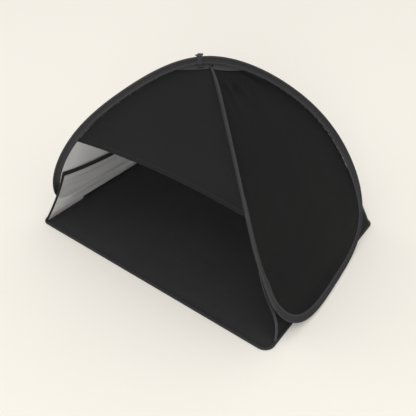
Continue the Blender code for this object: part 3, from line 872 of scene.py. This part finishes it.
def add_sleeves():
    clear_front = place_from_crossing(CROSSING_CLEAR - 0.0015)
    clear_rear = place_from_crossing(CROSSING_CLEAR - 0.0015, rear=True)
    arch = [(SLEEVE_JOIN, 0.0, -1), (1.0, 1.0 - SLEEVE_JOIN, 1)]
    left = add_sleeve("arch_sleeve", arch, 101, "sleeve_left_front_to_right_rear")
    right = add_sleeve("right_front_sleeve", [(clear_front, SLEEVE_JOIN, 1)], 111,
                       "sleeve_right_front", FRONT_PINCH_LENGTH)
    rear = add_sleeve("left_rear_sleeve", [(clear_rear, 1.0 - SLEEVE_JOIN, -1)], 121,
                      "sleeve_left_rear", REAR_PINCH_LENGTH)
    turn = (SLEEVE_JOIN, 1.0 - SLEEVE_JOIN)
    # The bottom sleeves take the darker copies of webbing and tape, a painted shade.
    looks = (SHADED_LOW_WEB, SHADED_LOW_BINDING)
    low_left = add_sleeve("left_bottom_sleeve", [(*turn, -1)], 131, "sleeve_left_bottom", looks=looks)
    low_right = add_sleeve("right_bottom_sleeve", [(*turn, 1)], 141, "sleeve_right_bottom", looks=looks)
    add_stitches("arch_sleeve_stitches", left, PALE_THREAD)
    add_stitches("front_and_rear_sleeve_stitches", right + rear, PALE_THREAD)
    add_stitches("bottom_sleeve_stitches", low_left + low_right, PALE_THREAD)


# Floor


def rounded(a, b):
    """Where a point of a plain rectangle lies in one with round corners."""
    radius = FLOOR_CORNER_RADIUS
    x = np.abs(a) - (FLOOR_WIDTH / 2 - radius)
    y = np.abs(b) - (FLOOR_DEPTH / 2 - radius)
    inside = (x > 0) & (y > 0)
    far = np.maximum(np.maximum(x, y), 1e-9)
    pull = np.where(inside, far / np.maximum(np.hypot(x, y), 1e-9), 1.0)
    px = np.where(inside, np.sign(a) * (FLOOR_WIDTH / 2 - radius + x * pull), a)
    py = np.where(inside, np.sign(b) * (FLOOR_DEPTH / 2 - radius + y * pull), b)
    return px, py


def floor_height(x, y, edge):
    """Low waves of cloth that lies loosely on the ground."""
    swell = 0.5 + 0.5 * waves(201, x * 14, y * 11)
    crease = np.maximum(waves(207, x * 30 + y * 12, y * 6), 0) ** 2
    return (0.0009 * swell + 0.0012 * crease) * smooth_step(0.012, 0.04, edge)


def add_floor():
    inset = FLOOR_TAPE_WIDTH * 0.5
    across = np.linspace(-1, 1, 176) * (FLOOR_WIDTH / 2)
    deep = np.linspace(-1, 1, 126) * (FLOOR_DEPTH / 2)
    a, b = np.meshgrid(across, deep)
    x, y = rounded(a, b)
    scale_x = 1 - inset / (FLOOR_WIDTH / 2)
    scale_y = 1 - inset / (FLOOR_DEPTH / 2)
    edge = np.minimum(FLOOR_WIDTH / 2 - np.abs(a), FLOOR_DEPTH / 2 - np.abs(b))
    top = FLOOR_TOP + floor_height(x, y, edge)
    points = np.dstack((x * scale_x, y * scale_y, top - CLOTH / 2))
    normals = np.zeros_like(points)
    normals[..., 2] = 1.0
    return add_piece("floor_cloth", sheet_mesh("floor_cloth", points, normals, CLOTH, two_faced=False),
                     [FLOOR_BLACK], ["floor_sheet"])


def floor_edge(count=70):
    """The floor's outer line in four stretches, each from the middle of one corner to the next."""
    radius = FLOOR_CORNER_RADIUS
    stretches = {}
    for name, quarter in (("rear", 0), ("left", 1), ("front", 2), ("right", 3)):
        points, outs = [], []
        for corner, turn in ((quarter, (0.5, 1.0)), ((quarter + 1) % 4, (0.0, 0.5))):
            side = 1 if corner in (0, 3) else -1
            face = 1 if corner in (0, 1) else -1
            centre = np.array((side * (FLOOR_WIDTH / 2 - radius), face * (FLOOR_DEPTH / 2 - radius), 0.0))
            angles = math.pi / 2 * (corner + np.linspace(*turn, 9))
            way = np.stack((np.cos(angles), np.sin(angles), np.zeros(9)), axis=-1)
            points.append(centre + way * radius)
            outs.append(way)
        between = np.linspace(0, 1, count)[1:-1][:, None]
        straight = points[0][-1] + (points[1][0] - points[0][-1]) * between
        points = np.concatenate((points[0], straight, points[1]))
        outs = np.concatenate((outs[0], np.repeat(outs[0][-1:], count - 2, axis=0), outs[1]))
        stretches[name] = points, outs
    return stretches


def add_floor_tape():
    """Folded binding tape round the floor's edge, sewn down."""
    profile = np.array((
        (-8.0, 0.3), (-8.0, 2.3), (-7.6, 2.7), (-6.0, 2.9), (-3.0, 3.0), (-1.2, 2.9), (-0.4, 2.4),
        (0.0, 1.6), (-0.1, 0.8), (-0.6, 0.2), (-1.2, 0.0), (-7.6, 0.0),
    )) * 0.001
    tapes = []
    up = np.array((0.0, 0.0, 1.0))
    for number, (name, (points, outs)) in enumerate(floor_edge().items()):
        ups = np.tile(up, (len(points), 1))
        ripple = np.zeros((len(points), len(profile), 2))
        run = np.linspace(0, 1, len(points)) * 0.7
        high = (profile[:, 1] > 0.002)[None, :]
        ripple[..., 1] = np.where(high, -0.00012 + 0.00012 * waves(221 + number, run * 300)[:, None], 0)
        label = "floor_tape_" + name
        mesh = swept_mesh(label + "_binding", points, outs, ups, profile, [0] * len(profile), ripple=ripple)
        tapes.append(add_piece(label + "_binding", mesh, [BINDING_AND_EDGE_HIGHLIGHT], [label]))
    lines = []
    for points, outs in floor_edge().values():
        lines.append((points - outs * 0.0058 + up * 0.00285, np.tile(up, (len(points), 1))))
    tapes.append(add_stitches("floor_tape_stitches", lines, PALE_THREAD))
    return tapes


# Side walls


def side_panel_at(y, height):
    """Points of the right side panel at depths and heights."""
    low = np.full(y.shape, place_from_crossing(SIDE_START))
    high = np.full(y.shape, BOTTOM_START)
    for _ in range(30):
        place = (low + high) / 2
        front, rear = at(CORNER, place), at(CORNER, 1.0 - place)
        share = (y - front[..., 1]) / (rear[..., 1] - front[..., 1])
        spot = front + (rear - front) * share[..., None]
        above = spot[..., 2] > height
        low = np.where(above, place, low)
        high = np.where(above, high, place)
    return spot


def wall_lines(shares, side):
    """Top and bottom points of the right side wall at shares of its length."""
    front = at(CORNER, place_at_height(TIE_HEIGHT))
    rear = at(CORNER, place_at_height(TIE_HEIGHT, rear=True))
    slack = 4 * shares * (1 - shares)
    y = front[1] + (rear[1] - front[1]) * shares
    spot = side_panel_at(y, TIE_HEIGHT - WALL_HEM_SAG * slack)
    normal = np.array([at(SIDE_NORMAL, place_at_height(z)) for z in spot[:, 2]])
    top = spot - unit(normal) * (WALL_LEAN + WALL_BELLY * slack)[:, None]
    foot = rear_foot()
    y = -WALL_FRONT_Y[side] + (foot[1] + WALL_FRONT_Y[side]) * shares
    turn = FLOOR_DEPTH / 2 - FLOOR_CORNER_RADIUS
    bend = np.maximum(y - turn, 0.0) / (foot[1] - turn)
    x = WALL_FOOT_X[side] + (foot[0] - WALL_FOOT_X[side]) * bend
    beyond_x = np.maximum(x - (FLOOR_WIDTH / 2 - FLOOR_CORNER_RADIUS), 0.0)
    beyond_y = np.maximum(np.abs(y) - turn, 0.0)
    from_edge = FLOOR_CORNER_RADIUS - np.hypot(beyond_x, beyond_y)
    share = smooth_step(FLOOR_TAPE_WIDTH, FLOOR_TAPE_WIDTH * 1.5, from_edge)
    z = FLOOR_TAPE_THICKNESS + (FLOOR_TOP - FLOOR_TAPE_THICKNESS) * share
    bottom = np.stack((x, y, z), axis=-1)
    return top, bottom


def wall_bow(shares, depth, side):
    """How far a wall's front edge curves back between its tie and the floor. The right one,
    which the photo shows slack near its foot, curves most lower down."""
    form = 4 * depth * (1 - depth) if side < 0 else 9.48 * depth**3 * (1 - depth)
    return WALL_FRONT_BOW[side] * form * np.exp(-shares / WALL_BOW_REACH)


def wall_surface(shares, drops, seed, side, folded=True):
    """The wall's middle surface at shares of its length and depths in metres below its top."""
    top, bottom = wall_lines(shares, side)
    down = unit(bottom - top)
    length = np.linalg.norm(bottom - top, axis=1)
    depth = np.asarray(drops)
    points = top[:, None] + down[:, None] * (depth * length[:, None])[..., None]
    points[..., 1] += wall_bow(shares[:, None], depth, side)
    points = points.transpose(1, 0, 2)
    normals = grid_normals(points)
    normals *= np.sign(normals[0, len(shares) // 2] @ np.array((1.0, 0.0, 0.2)))
    if folded:
        below = (depth * length[:, None]).T
        share = np.broadcast_to(shares[None, :], below.shape)
        sag = np.sin(below * 2 * math.pi / 0.024 + 3.0 * share + waves(seed, share * 9))
        front_part = np.exp(-((share - 0.14) / 0.16) ** 2) + 0.5 * np.exp(-((share - 0.85) / 0.15) ** 2)
        held = smooth_step(0.010, 0.030, below) * smooth_step(0.0, 0.02, length[None, :] - below)
        slow = waves(seed + 1, share * 11, below * 40)
        moved = (0.0010 * sag * front_part * np.exp(-below / 0.05) + 0.0012 * slow) * held
        ends = smooth_step(0.0, 0.04, share) * smooth_step(0.0, 0.04, 1 - share)
        points = points - normals * (moved * ends)[..., None]
    return points, normals


def add_side_walls():
    """Each low wall with its top hem and the tape down its front and rear edges."""
    made = {}
    for word, side, seed in (("left", -1, 301), ("right", 1, 331)):
        tape = WALL_EDGE_WIDTH / (WALL_FRONT_Y[side] + rear_foot()[1])
        top, bottom = wall_lines(np.array((0.0, 0.5, 1.0)), side)
        hem_share = WALL_HEM_WIDTH / np.linalg.norm(bottom - top, axis=1).mean()
        shares = np.linspace(0.003, 0.995, 150)
        drops = np.linspace(hem_share * 0.85, 1.0, 60)
        name = word + "_side_wall"
        points, normals = wall_surface(shares, drops[None, :], seed, side)
        mesh = sheet_mesh(name + "_cloth", sided(points, side), sided(normals, side), 0.0008)
        outer = WALL_OUTER if side < 0 else DENSE_WALL_OUTER
        wall = add_piece(name + "_cloth", mesh, [outer, LIT_WALL_INNER], [name])
        hem = add_wall_hem(name, side, hem_share, seed)
        tapes = add_wall_tapes(name, side, tape)
        made[word] = wall, [hem, *tapes]
    return made


def add_wall_hem(name, side, hem_share, seed):
    shares = np.linspace(0.0, 1.0, 170)
    points, normals = wall_surface(shares, np.linspace(0, hem_share, 7)[None, :], seed, side, folded=False)
    wave = 0.0005 * waves(seed + 5, shares * 40)[None, :] * np.array((0, 0.3, 0.5, 0.6, 0.5, 0.3, 0))[:, None]
    points = points + normals * wave[..., None]
    middle = (points[0] + points[-1]) / 2
    out = unit(points[0] - points[-1])
    along = unit(np.gradient(middle, axis=0))
    across = unit(np.cross(out, along))
    half = WALL_HEM_WIDTH / 2
    profile = np.array(((-1, -0.6), (-0.97, -0.95), (-0.9, -1.1), (0.9, -1.1), (0.97, -0.95), (1, -0.6),
                        (1, 0.6), (0.97, 0.95), (0.9, 1.1), (-0.9, 1.1), (-0.97, 0.95), (-1, 0.6)))
    profile = profile * (half, 0.001)
    mesh = swept_mesh(name + "_hem_webbing", sided(middle, side), sided(out, side), sided(across, side),
                      profile, [0] * len(profile))
    hem = add_piece(name + "_hem_webbing", mesh, [WEBBING], [name + "_hem"])
    lines = []
    for reach in (-0.72, 0.72):
        for way in (1, -1):
            sewn = middle + out * half * reach + across * way * 0.0011
            lines.append((sided(sewn, side), sided(across * way, side)))
    add_stitches(name + "_hem_stitches", lines, THREAD)
    return hem


def add_wall_tapes(name, side, tape):
    """Folded tape down the front and the rear edge of a wall."""
    made = []
    top, bottom = wall_lines(np.array((tape / 2, 1.0 - tape / 2)), side)
    inward_top, inward_bottom = wall_lines(np.array((tape, 1.0 - tape)), side)
    for k, (word, look) in enumerate((("front", PALE_TAPE), ("rear", BINDING_AND_EDGE_HIGHLIGHT))):
        steps = np.linspace(0, 1, 60)[:, None]
        middle = top[k] + (bottom[k] - top[k]) * steps
        inner = inward_top[k] + (inward_bottom[k] - inward_top[k]) * steps
        if word == "front":
            middle[:, 1] += wall_bow(0.0, steps[:, 0], side)
            inner[:, 1] += wall_bow(0.0, steps[:, 0], side)
        out = unit(middle - inner)
        along = unit(np.gradient(middle, axis=0))
        out = unit(out - along * (out * along).sum(axis=1, keepdims=True))
        across = unit(np.cross(out, along))
        half = WALL_EDGE_WIDTH / 2
        profile = np.array(((-1, -0.5), (-0.92, -0.9), (0.6, -1.0), (0.9, -0.7), (1, 0),
                            (0.9, 0.7), (0.6, 1.0), (-0.92, 0.9), (-1, 0.5))) * (half, 0.00115)
        label = name + "_" + word + "_tape"
        outer = np.sign(across[0, 0])
        # Faces that look into the tent take the darker copy of the tape, a painted shade.
        parts = [int(t * outer > 0) for t in (profile[:, 1] + np.roll(profile[:, 1], -1))]
        mesh = swept_mesh(label + "_binding", sided(middle, side), sided(out, side), sided(across, side),
                          profile, parts)
        made.append(add_piece(label + "_binding", mesh, [SHADED_INSIDE_TAPE, look], [label]))
        lines = []
        for way in (1, -1):
            sewn = middle - out * half * 0.3 + across * way * 0.0011
            lines.append((sided(sewn, side), sided(across * way, side)))
        add_stitches(label + "_stitches", lines, PALE_THREAD)
    return made


# Crossing


CROWN_REACH = 0.078
CROWN_DROP = 0.026
CROWN_START = 0.003


def crown_on_face(rear, steps=(40, 14)):
    """The left half of a crown highlight sheet, on the visor or on the back panel."""
    strand_far = place_from_crossing(CROWN_REACH, rear)
    strand_near = place_from_crossing(CROWN_START, rear)
    other = place_from_crossing(CROWN_DROP, rear)
    along = np.linspace(0, 1, steps[0])
    strand = at(CORNER, strand_near + (strand_far - strand_near) * along) * (-1, 1, 1)
    start, end = at(CORNER, other), at(CORNER, strand_far) * (-1, 1, 1)
    start = start + (end - start) * 0.02
    chord = start + (end - start) * along[:, None]
    depth = np.linspace(0, 1, steps[1])
    points = strand[None] + (chord - strand)[None] * depth[:, None, None]
    table = CORNER[::-1] if rear else CORNER
    middle = len(table) // 3
    heights = np.minimum.accumulate(table[:middle, 2])
    points[..., 1] = np.interp(points[..., 2], heights[::-1], table[:middle, 1][::-1])
    return points


def crown_on_side(rear, steps=(40, 14)):
    """The right half of a crown highlight sheet, on a side panel, between its two strands."""
    far, drop = place_from_crossing(CROWN_REACH), place_from_crossing(CROWN_DROP)
    near = place_from_crossing(CROWN_START)
    along = np.linspace(0, 1, steps[0])
    depth = np.linspace(0, 1, steps[1])
    strand_place = near + (far - near) * along
    chord_place = drop + (far - drop) * along
    place = strand_place[None] + (chord_place - strand_place)[None] * depth[:, None]
    share = 1.0 + (along - 1.0)[None] * depth[:, None]
    if rear:
        share = 1.0 - share
    front, back = at(CORNER, place), at(CORNER, 1.0 - place)
    return front + (back - front) * share[..., None]


def add_crown_highlight(name, left, right):
    """A painted highlight: a thin lighter sheet over the cloths beside the crossing, in two halves, where the
    cloth faces up and catches the light.
    """
    for word, points, way in (("left", left, (0, -1, 0.7)), ("right", right, (1, -0.3, 0.7))):
        normals = grid_normals(points)
        if name.startswith("rear"):
            way = (-way[0], -way[1], way[2])
        normals *= np.sign(normals[7, 20] @ np.array(way))
        normals = np.broadcast_to(unit(normals.mean(axis=(0, 1))), normals.shape)
        lift = 0.0019 + 0.0004 * waves(401, points[..., 0] * 50, points[..., 2] * 60)
        label = name + "_" + word
        placed = points + normals * lift[..., None]
        mesh = sheet_mesh(label, placed, normals, 0.0009)
        highlight_sheet = add_piece(label, mesh, [CROWN_HIGHLIGHT_CLOTH, CROWN_HIGHLIGHT_CLOTH])
        declare(highlight_sheet, None)


def add_crown_highlights():
    add_crown_highlight("front_crown_highlight", crown_on_face(False), crown_on_side(False))
    turn = np.array((-1.0, 1.0, 1.0))
    add_crown_highlight("rear_crown_highlight", crown_on_face(True) * turn, crown_on_side(True) * turn)


def sleeve_frame(place, side):
    """Place and directions of a piece on the sleeve: along it, across it and out of it."""
    tangent = sided(at(TANGENT, place), side)
    out = sided(at(OUTWARD, place), side)
    across = unit(np.cross(out, tangent))
    return sided(at(WIRE, place), side), unit(tangent), across, unit(out)


def add_strap():
    """The short strap over the sleeve beside the crossing, its front end sewn to the visor."""
    middle, tangent, across, out = sleeve_frame(place_from_crossing(STRAP_DISTANCE), -1)
    path = [(-0.0032, -0.0085), (-0.0032, 0.000), (-0.0034, 0.006), (-0.0028, 0.0092), (0.0, 0.0103),
            (0.0028, 0.0092), (0.0034, 0.006), (0.0034, 0.000), (0.0040, -0.0060)]
    front_way = 1.0 if across[1] < 0 else -1.0
    points = [middle + across * a * front_way + out * o for a, o in path]
    place = place_from_crossing(STRAP_DISTANCE)
    face = sided(at(FACE_NORMAL, place), -1)
    inward = unit(ALONG_X - tangent * (tangent @ ALONG_X))
    foot = sided(at(CORNER, place), -1) + unit(face) * STRAP_STAND
    points = np.array(points + [foot + inward * reach for reach in (0.004, 0.008, 0.012, STRAP_TAIL)])
    run = np.concatenate(([0.0], np.cumsum(np.linalg.norm(np.diff(points, axis=0), axis=1))))
    spots = np.linspace(0, run[-1], 60)
    line = np.stack([np.interp(spots, run, points[:, k]) for k in range(3)], axis=-1)
    for _ in range(4):
        line[1:-1] = (line[:-2] + 2 * line[1:-1] + line[2:]) / 4
    along = unit(np.gradient(line, axis=0))
    wide = np.tile(tangent, (len(line), 1))
    wide = unit(wide - along * (wide * along).sum(axis=1, keepdims=True))
    thick = unit(np.cross(along, wide))
    half = STRAP_WIDTH / 2
    profile = np.array(((-1, -0.4), (-0.9, -0.6), (0.9, -0.6), (1, -0.4), (1, 0.4), (0.9, 0.6),
                        (-0.9, 0.6), (-1, 0.4))) * (half, 0.001)
    mesh = swept_mesh("crossing_strap_webbing", line, wide, thick, profile, [0] * 8)
    return add_piece("crossing_strap_webbing", mesh, [STRAP_LOOK], ["crossing_strap"])


def add_knot():
    """A small overhand knot of cord on top of the strap."""
    middle, tangent, across, out = sleeve_frame(place_from_crossing(STRAP_DISTANCE), -1)
    centre = middle + out * 0.0122 - tangent * 0.001
    turn = np.linspace(0, 2 * math.pi, 121)[:-1]
    u = (2 + np.cos(3 * turn)) * np.cos(2 * turn) * 0.0027
    v = (2 + np.cos(3 * turn)) * np.sin(2 * turn) * 0.0014
    w = np.sin(3 * turn) * 0.0010
    line = centre + u[:, None] * tangent + v[:, None] * across + w[:, None] * out
    along = unit(np.roll(line, -1, axis=0) - np.roll(line, 1, axis=0))
    away = unit(line - centre)
    first = unit(away - along * (away * along).sum(axis=1, keepdims=True))
    second = unit(np.cross(along, first))
    ring = np.arange(10) * math.pi / 5
    profile = np.stack((np.cos(ring), np.sin(ring)), axis=-1) * 0.0016
    mesh = swept_mesh("crossing_knot_cord", line, first, second, profile, [0] * 10, closed=True)
    return add_piece("crossing_knot_cord", mesh, [KNOT_LOOK], ["crossing_knot"])


# Sheets


def declare(piece, flat):
    """Works out how large the cloth was cut, but keeps nothing. Without a flat size it is read from the cloth's
    grid.
    """
    mesh = piece.data
    area = sum(p.area for p in mesh.polygons) / 2
    uv = np.zeros(len(mesh.loops) * 2, np.float32)
    mesh.uv_layers["UVMap"].data.foreach_get("uv", uv)
    spread = np.ptp(uv.reshape(-1, 2), axis=0)
    width, length = flat or (float(spread[0]), float(spread[1]))
    area = min(area, width * length)
    area = max(area, 0.31 * width * length)


# Stage


def add_stage():
    mesh = bpy.data.meshes.new("stage_floor")
    size = 9.0
    steps = 24
    corners = [(size * (2 * i / steps - 1), size * (2 * j / steps - 1), 0.0)
               for j in range(steps + 1) for i in range(steps + 1)]
    faces = [(j * (steps + 1) + i, j * (steps + 1) + i + 1, (j + 1) * (steps + 1) + i + 1,
              (j + 1) * (steps + 1) + i) for j in range(steps) for i in range(steps)]
    mesh.from_pydata(corners, [], faces)
    floor = bpy.data.objects.new("stage_floor", mesh)
    mesh.materials.append(stage_look((0.885, 0.856, 0.790)))
    bpy.context.scene.collection.objects.link(floor)


def add_area_light(name, place, target, size, power, colour=(1, 1, 1)):
    data = bpy.data.lights.new(name, "AREA")
    data.shape = "DISK"
    data.size = size
    data.energy = power
    data.color = colour
    light = bpy.data.objects.new(name, data)
    light.location = place
    way = Vector(target) - Vector(place)
    light.rotation_mode = "QUATERNION"
    light.rotation_quaternion = way.to_track_quat("-Z", "Y")
    bpy.context.scene.collection.objects.link(light)


def add_lights():
    world = bpy.data.worlds.new("studio")
    bpy.context.scene.world = world
    world.use_nodes = True
    back = world.node_tree.nodes["Background"]
    back.inputs["Color"].default_value = (1.0, 0.995, 0.985, 1.0)
    back.inputs["Strength"].default_value = 0.95
    add_area_light("key", (1.6, -2.4, 3.0), (0, 0, 0.1), 2.6, 6.0)
    add_area_light("fill", (-2.6, -1.6, 1.8), (0, 0, 0.1), 2.2, 3.0)
    add_area_light("mouth", (3.0, -5.0, 1.7), (0, 0, 0.1), 2.4, 138.0)


def add_camera():
    yaw, pitch = CAMERA_YAW, CAMERA_PITCH
    forward = Vector((-math.sin(yaw) * math.cos(pitch), math.cos(yaw) * math.cos(pitch), -math.sin(pitch)))
    right = Vector((math.cos(yaw), math.sin(yaw), 0))
    up = right.cross(forward)
    data = bpy.data.cameras.new("camera")
    data.sensor_width = SENSOR
    data.lens = CAMERA_LENS
    camera = bpy.data.objects.new("camera", data)
    turn = Matrix((right, up, -forward)).transposed().to_4x4()
    camera.matrix_world = Matrix.Translation(CAMERA_PLACE) @ turn
    bpy.context.scene.collection.objects.link(camera)
    bpy.context.scene.camera = camera


def main():
    add_camera()
    add_lights()
    add_stage()
    bpy.context.scene.view_settings.view_transform = "Standard"
    panels = add_side_panels()
    bindings = add_panel_bindings()
    visor, hem, hem_seam = add_visor()
    back = add_back_panel()
    add_sleeves()
    floor = add_floor()
    tapes = add_floor_tape()
    walls = add_side_walls()
    add_strap()
    add_knot()
    add_crown_highlights()
    for word, panel in panels.items():
        declare(panel, None)
    declare(visor, None)
    declare(back, None)
    declare(floor, (FLOOR_WIDTH, FLOOR_DEPTH))
    for wall, parts in walls.values():
        declare(wall, None)


main()
